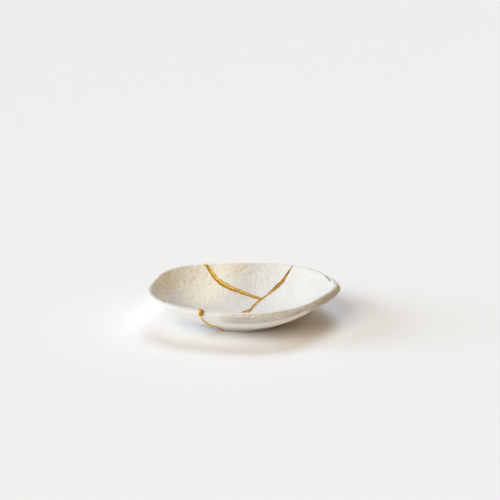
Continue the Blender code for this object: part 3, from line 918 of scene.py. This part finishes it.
# How wide the outside line is against the inside one, by distance from the rim
OUTSIDE_RUNS = (0.0, 0.003, 0.0150, 0.0195, 0.0235, 0.0275, 0.034, 0.060)
OUTSIDE_WIDTHS = (1.0, 0.55, 0.64, 0.90, 1.45, 1.00, 0.90, 0.90)


def line_on_face(face, path):
    """A crack's middle on one face, from a little before the meeting point to the rim, in equal steps: flat
    places, the direction to the right, the run so far, the gold's width and the run that is left."""
    before = path[0] - (path[1] - path[0]) / np.hypot(*(path[1] - path[0])[:2]) * NOSE_RUN
    before[2] = path[0, 2]
    whole = np.vstack((before, path))
    place = place_on_face(face, whole)
    reach = np.hypot(place[:, 0], place[:, 1])
    beyond = int(np.argmax(reach >= RIM_RADIUS))
    share = (RIM_RADIUS - reach[beyond - 1]) / (reach[beyond] - reach[beyond - 1])
    run = run_along(place)
    end = run[beyond - 1] + share * (run[beyond] - run[beyond - 1])
    steps = np.linspace(0.0, end, max(int(end / LINE_STEP), FEWEST_STEPS))
    even = np.stack([np.interp(steps, run, place[:, k]) for k in (0, 1)], axis=-1)
    width = np.interp(steps, run, whole[:, 2])
    return even, right_of(even), steps, width, end - steps


def lacquer_section():
    """The lacquer's section as a loop: how far across each point is, its share of the crown and its depth.
    A dome, a circle's height taken to a power, goes from left to right, and a sunken root comes back."""
    across = -np.cos(np.linspace(0.0, math.pi, DOME_POINTS))
    dome = np.sqrt(np.clip(1.0 - across ** 2, 0.0, 1.0)) ** DOME_FULLNESS
    root = np.array((ROOT_HALF_WIDTH, 0.0, -ROOT_HALF_WIDTH))
    loop_across = np.concatenate((across, root, across[:1]))
    loop_dome = np.concatenate((dome, np.zeros(len(root)), dome[:1]))
    loop_depth = np.repeat((GOLD_SINK, GOLD_ROOT, GOLD_SINK), (DOME_POINTS, len(root), 1))
    return loop_across, loop_dome, loop_depth


def ragged(middle, seed):
    """How much wider or narrower one side of a line is: 1 with two soft noises added."""
    wide = lattice_noise(middle, RAGGED_RUN, seed)
    return 1.0 + RAGGED_WIDTH * (wide + FINE_RAG * lattice_noise(middle, FINE_RAG_RUN, seed + 5))


def unevenness(place, seed):
    """How much higher or lower the gold stands than its dome: 1 with two soft noises added."""
    wide = lattice_noise(place, RAGGED_HEIGHT_WIDTH, seed + 2)
    return 1.0 + RAGGED_HEIGHT * (wide + FINE_HEIGHT * lattice_noise(place, FINE_HEIGHT_WIDTH, seed + 3))


def lacquer_on_face(face, path, seed, fuller_right, fuller_left):
    """Rows of the section along a crack on one face. A point lies aside of the middle by its share of the
    half width, which shrinks to nothing at the nose, and near the rim it swings round the dish instead. It
    is lifted by its share of the crown less its depth. With the rows come the angles and the crown at the
    rim and each row's distance from it."""
    across, dome, depth = lacquer_section()
    even, aside, steps, width, to_rim = line_on_face(face, path)
    full = width * (1.0 if face is inner_face else np.interp(to_rim, OUTSIDE_RUNS, OUTSIDE_WIDTHS))
    middle = np.concatenate((even, np.zeros((len(even), 1))), axis=-1)
    nose = np.sqrt(np.clip(1.0 - (1.0 - np.clip(steps / NOSE_RUN, 0.0, 1.0)) ** 2, 0.0, 1.0))
    half = 0.5 * GOLD_SPREAD * (full * nose)[:, None]
    left = fuller_left * ragged(middle, seed)[:, None]
    right = fuller_right * ragged(middle, seed + 1)[:, None]
    shift = half * np.where(across < 0.0, left, right) * across
    turned = np.hypot(even[:, 0], even[:, 1])[:, None]
    angle = np.arctan2(even[:, 1], even[:, 0])[:, None]
    away = smooth_rise(0.0, RIM_TURN_RUN, to_rim)
    follow = (1.0 - away)[:, None, None]
    straight = even[:, None, :] + aside[:, None, :] * shift[..., None]
    swung_angle = angle - shift / turned
    swung = turned[..., None] * np.stack((np.cos(swung_angle), np.sin(swung_angle)), axis=-1)
    spot = straight * (1.0 - follow) + swung * follow
    reach = np.hypot(spot[..., 0], spot[..., 1])
    turn = np.unwrap(np.arctan2(spot[..., 1], spot[..., 0]), axis=0)
    crown = np.minimum(GOLD_CROWN_SHARE * full, GOLD_CROWN_MOST) * nose
    crown *= GOLD_CROWN_ON_LIP + (1.0 - GOLD_CROWN_ON_LIP) * away
    smooth = face(reach, turn, np.zeros_like(reach))
    lift = crown[:, None] * dome * unevenness(smooth, seed) - depth * nose[:, None]
    return face(reach, turn, slow_relief(smooth) + lift), turn[-1], crown[-1], to_rim


def lacquer_line(crack, seed, fuller_right, fuller_left, painted_shade_share):
    """A closed tube of lacquer: its section is carried along the crack on the inside, over the lip, and back
    along the outside to the meeting point, where both ends shrink to a point. Each side is as much fuller
    than the crack's own width as it is told. Comes with two masks: one that is 1 outside, where the gold
    is laid in a slight coat, and painted shade, which darkens the gold inside away from the rim to the share
    it is told."""
    path = smooth_path(crack)
    fuller = (fuller_right, fuller_left)
    inner_rows, inner_turn, inner_crown, inner_to_rim = lacquer_on_face(inner_face, path, seed, *fuller)
    outer_rows, outer_turn, outer_crown, _ = lacquer_on_face(outer_face, path, seed, *fuller)
    _, dome, depth = lacquer_section()
    turn = np.linspace(0.0, 1.0, 2 * LIP_STEPS + 1)[:, None]
    lip_angle = inner_turn * (1.0 - turn) + outer_turn * turn
    crown = inner_crown * (1.0 - turn) + outer_crown * turn
    flat_turn = turn * np.ones_like(lip_angle)
    smooth = lip_face(flat_turn, lip_angle, np.zeros_like(lip_angle))
    lip_lift = crown * dome * unevenness(smooth, seed) - depth
    lip_rows = lip_face(flat_turn, lip_angle, slow_relief(smooth) + lip_lift)
    tube = np.concatenate((inner_rows, lip_rows[1:-1], outer_rows[::-1]))
    tube[..., 2] = np.maximum(tube[..., 2], GOLD_LEAST_HEIGHT)
    tube[0] = tube[0].mean(axis=0)
    tube[-1] = tube[-1].mean(axis=0)
    counts = (len(inner_rows), len(lip_rows) - 2, len(outer_rows))
    each_point = np.ones(tube.shape[1])
    thin_gold_and_highlight = np.repeat((0.0, 0.5, 1.0), counts)[:, None] * each_point
    # Painted shade on the gold inside, away from the rim
    inner_gold_painted_shade = painted_shade_share * smooth_rise(*PAINTED_SHADE_FROM_RIM, inner_to_rim)
    gold_painted_shade = np.concatenate((inner_gold_painted_shade, np.zeros(sum(counts[1:]))))[:, None] * each_point
    return tube, {"thin_gold_and_highlight": thin_gold_and_highlight, "gold_painted_shade": gold_painted_shade}


POOL_RADIUS = 0.0017
POOL_HEIGHT = 0.0006
DROP_WIDTH = 0.0041
DROP_HEIGHT = 0.0046
DROP_THICKNESS = 0.0034
DROP_BELOW_CREST = 0.0021
DROP_OUT = 0.45 * WALL
DROP_FULLNESS = 0.72
BLOB_STEPS = 28
BLOB_UNEVEN = 0.09
BLOB_UNEVEN_WIDTH = 0.60


def blob(centre, axes, half_sizes, fullness, seed):
    """A closed uneven drop: a ball over longitude and latitude whose cosines and sines are taken to the power
    fullness, which squares it below 1, scaled on its axes, with soft noise on its radius."""
    turn = np.linspace(0.0, 2.0 * math.pi, 2 * BLOB_STEPS + 1)[None, :]
    rise = np.linspace(-0.5 * math.pi, 0.5 * math.pi, BLOB_STEPS + 1)[:, None]
    level = np.abs(np.cos(rise)) ** fullness
    x = level * signed_power(np.cos(turn), fullness)
    y = level * signed_power(np.sin(turn), fullness)
    z = signed_power(np.sin(rise), fullness) * np.ones_like(turn)
    unit = np.stack((x, y, z), axis=-1)
    unit[0] = (0.0, 0.0, -1.0)
    unit[-1] = (0.0, 0.0, 1.0)
    unit[:, -1] = unit[:, 0]
    unit *= 1.0 + BLOB_UNEVEN * lattice_noise(unit, BLOB_UNEVEN_WIDTH, seed)[..., None]
    return np.asarray(centre) + (unit * np.asarray(half_sizes)) @ np.asarray(axes)


def lip_crossing(crack):
    """The lip's crest where a crack's middle crosses it, and the direction outwards there."""
    path = smooth_path(crack)
    even = line_on_face(outer_face, path)[0]
    angle = math.atan2(even[-1, 1], even[-1, 0])
    _, slope = mid_wall(RIM_RADIUS)
    crest = lip_face(np.array(slope / math.pi), np.array(angle), np.array(0.0))
    return crest, angle


def meeting_pools(crack):
    """Low round pools of lacquer on the inside and the outside where the cracks meet: two flattened balls."""
    meeting = np.array(crack[0])[None, :2]
    pools = []
    for face, seed in ((inner_face, 71), (outer_face, 72)):
        spot = place_on_face(face, meeting)[0]
        centre = face(np.hypot(*spot), math.atan2(spot[1], spot[0]), np.array(0.0))
        pools.append(blob(centre, np.eye(3), (POOL_RADIUS, POOL_RADIUS, POOL_HEIGHT), 1.0, seed))
    return pools


GOLD_BRIGHT = (0.62, 0.345, 0.060)
GOLD_WORN = (0.38, 0.175, 0.030)
# Painted shade on the gold: darker and warmer
GOLD_PAINTED_SHADE = (0.40, 0.205, 0.038)
# Lighter gold where the coat is slight outside, and for the drop's painted highlight
GOLD_THIN_AND_HIGHLIGHT = (0.84, 0.57, 0.21)


def gold_material():
    """Gold powder on lacquer: satin metal with a fine uneven skin, duller and rougher in patches, darker away
    from the rim inside and on the drop's right, which is painted shade, and lighter outside, where its coat
    is slight, and on the drop's left, which is a painted highlight."""
    material, tree, shader = new_finish("gold_powder_lacquer")
    place = add_node(tree, "ShaderNodeTexCoord").outputs["Object"]
    patch = noise_of(tree, place, scale=420.0, detail=4.0, roughness=0.6)
    skin = noise_of(tree, place, scale=2600.0, detail=3.0, roughness=0.6)
    colour = mix_colours(tree, remap(tree, patch, 0.42, 0.68, 0.0, 0.75), GOLD_BRIGHT, GOLD_WORN)
    # Painted shade: the gold darker inside away from the rim and on the drop's right
    colour = mix_colours(tree, kept_mask(tree, "gold_painted_shade"), colour, GOLD_PAINTED_SHADE)
    # Lighter gold outside, where the coat is slight, and a painted highlight on the drop's left
    colour = mix_colours(tree, kept_mask(tree, "thin_gold_and_highlight"), colour, GOLD_THIN_AND_HIGHLIGHT)
    tree.links.new(colour, shader.inputs["Base Color"])
    tree.links.new(remap(tree, patch, 0.35, 0.70, 0.36, 0.56), shader.inputs["Roughness"])
    shader.inputs["Metallic"].default_value = 1.0
    add_bump(tree, shader, skin, strength=0.35, distance=0.00008)
    return material


tubes = [
    lacquer_line(CRACK_TO_BACK_LEFT, seed=41, fuller_right=1.60, fuller_left=1.0, painted_shade_share=1.0),
    lacquer_line(CRACK_TO_BACK_RIGHT, seed=51, fuller_right=1.0, fuller_left=1.35, painted_shade_share=0.9),
    lacquer_line(CRACK_TO_FRONT, seed=61, fuller_right=1.1, fuller_left=1.15, painted_shade_share=0.0),
]
crest, crest_angle = lip_crossing(CRACK_TO_FRONT)
outwards = np.array((math.cos(crest_angle), math.sin(crest_angle), 0.0))
along_rim = np.array((-math.sin(crest_angle), math.cos(crest_angle), 0.0))
drop_axes = (outwards, along_rim, (0.0, 0.0, 1.0))
drop_half_sizes = (0.5 * DROP_THICKNESS, 0.5 * DROP_WIDTH, 0.5 * DROP_HEIGHT)
drop_centre = crest + outwards * DROP_OUT - (0.0, 0.0, DROP_BELOW_CREST)
drop = blob(drop_centre, drop_axes, drop_half_sizes, DROP_FULLNESS, seed=73)
rounds = meeting_pools(CRACK_TO_FRONT) + [drop]
grids = [tube for tube, _ in tubes] + rounds
plain = [np.zeros(grid.shape[:2]) for grid in rounds]
gold_masks = {name: [masks[name] for _, masks in tubes] + plain for name in ("thin_gold_and_highlight", "gold_painted_shade")}

# The drop's right is painted shade, darker and warmer, and its left a painted highlight, lighter in tone:
# shares of its half width from its middle
DROP_PAINTED_SHADE_FROM = (-0.2, 0.5)
DROP_PAINTED_HIGHLIGHT_FROM = (0.2, 0.9)
drop_side = (drop - drop_centre) @ along_rim / (0.5 * DROP_WIDTH)
# Painted shade on the drop's right and a painted highlight on its left
gold_masks["gold_painted_shade"][-1] = smooth_rise(*DROP_PAINTED_SHADE_FROM, drop_side)
gold_masks["thin_gold_and_highlight"][-1] = smooth_rise(*DROP_PAINTED_HIGHLIGHT_FROM, -drop_side)
gold_seam = sewn_mesh("gold_lacquer_seam", grids, gold_masks)
gold_seam.data.materials.append(gold_material())
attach(gold_seam, "root")
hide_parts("gold_seam")

# The floor
# A plain pale sheet that runs past the picture on every side. It is not part of the dish.

FLOOR_REACH = 15.0
FLOOR_DROP = 0.00003
FLOOR_COLOUR = (0.88, 0.88, 0.895)
floor_sides = (-FLOOR_REACH, FLOOR_REACH)
floor_x, floor_y = np.meshgrid(floor_sides, floor_sides)
floor_grid = np.stack((floor_x, floor_y, np.full_like(floor_x, -FLOOR_DROP)), axis=-1)
floor_mesh = bpy.data.meshes.new("pale_floor")
floor_mesh.from_pydata(floor_grid.reshape(-1, 3).tolist(), [], [(0, 1, 3, 2)])
floor = bpy.data.objects.new("pale_floor", floor_mesh)
bpy.context.scene.collection.objects.link(floor)
floor_finish, _, floor_shader = new_finish("pale_floor_finish")
floor_shader.inputs["Base Color"].default_value = (*FLOOR_COLOUR, 1.0)
floor_shader.inputs["Roughness"].default_value = 0.80
floor_shader.inputs["Specular IOR Level"].default_value = 0.30
floor_mesh.materials.append(floor_finish)

# The light
# Three large soft lights: low from the left, from the front left, and high from behind. A faint warm glow
# fills the shade from all round.

LIGHT_WIDTH = math.radians(36.0)


def soft_light(name, direction, height, strength, colour):
    """A wide, far light: it shines from that direction round the dish and that height, both in degrees."""
    across, up = math.radians(direction), math.radians(height)
    towards = Vector((-math.cos(up) * math.cos(across), -math.cos(up) * math.sin(across), -math.sin(up)))
    light = bpy.data.lights.new(name, "SUN")
    light.energy = strength
    light.angle = LIGHT_WIDTH
    light.color = colour
    lamp = bpy.data.objects.new(name, light)
    lamp.rotation_mode = "QUATERNION"
    lamp.rotation_quaternion = towards.to_track_quat("-Z", "Y")
    bpy.context.scene.collection.objects.link(lamp)


# Each light's direction and height in degrees, its strength and its colour
soft_light("low_light_from_left", 180.0, 18.0, 2.13, (0.62, 0.78, 1.0))
soft_light("soft_light_from_front_left", 235.0, 35.0, 1.70, (1.0, 0.975, 0.82))
soft_light("high_light_from_behind", 75.0, 60.0, 1.56, (0.66, 0.84, 1.0))

glow = bpy.data.worlds.new("warm_glow")
glow.use_nodes = True
background = glow.node_tree.nodes["Background"]
background.inputs["Color"].default_value = (1.0, 0.60, 0.26, 1.0)
background.inputs["Strength"].default_value = 0.28
bpy.context.scene.world = glow
bpy.context.scene.view_settings.view_transform = "Standard"

# The camera
# It stands a metre off, 17.3 degrees above the table, square to the front, and looks a little over the dish.

CAMERA_DISTANCE = 1.0
CAMERA_HEIGHT = math.radians(17.3)
AIM_RIGHT = 0.00534
AIM_UP = 0.0541
LENS_IN_PIXELS = 1272.0
PICTURE_SIDE = 500.0
foot_centre = Vector((FOOT_CENTRE_X, FOOT_CENTRE_Y, 0.0))
line_of_sight = Vector((0.0, math.cos(CAMERA_HEIGHT), -math.sin(CAMERA_HEIGHT)))
upright = Vector((0.0, math.sin(CAMERA_HEIGHT), math.cos(CAMERA_HEIGHT)))
camera_data = bpy.data.cameras.new("camera")
camera_data.lens = camera_data.sensor_width * LENS_IN_PIXELS / PICTURE_SIDE
camera = bpy.data.objects.new("camera", camera_data)
camera.location = foot_centre - line_of_sight * CAMERA_DISTANCE
aim = foot_centre + Vector((AIM_RIGHT, 0.0, 0.0)) + upright * AIM_UP
camera.rotation_mode = "QUATERNION"
camera.rotation_quaternion = (aim - camera.location).to_track_quat("-Z", "Y")
bpy.context.scene.collection.objects.link(camera)
bpy.context.scene.camera = camera
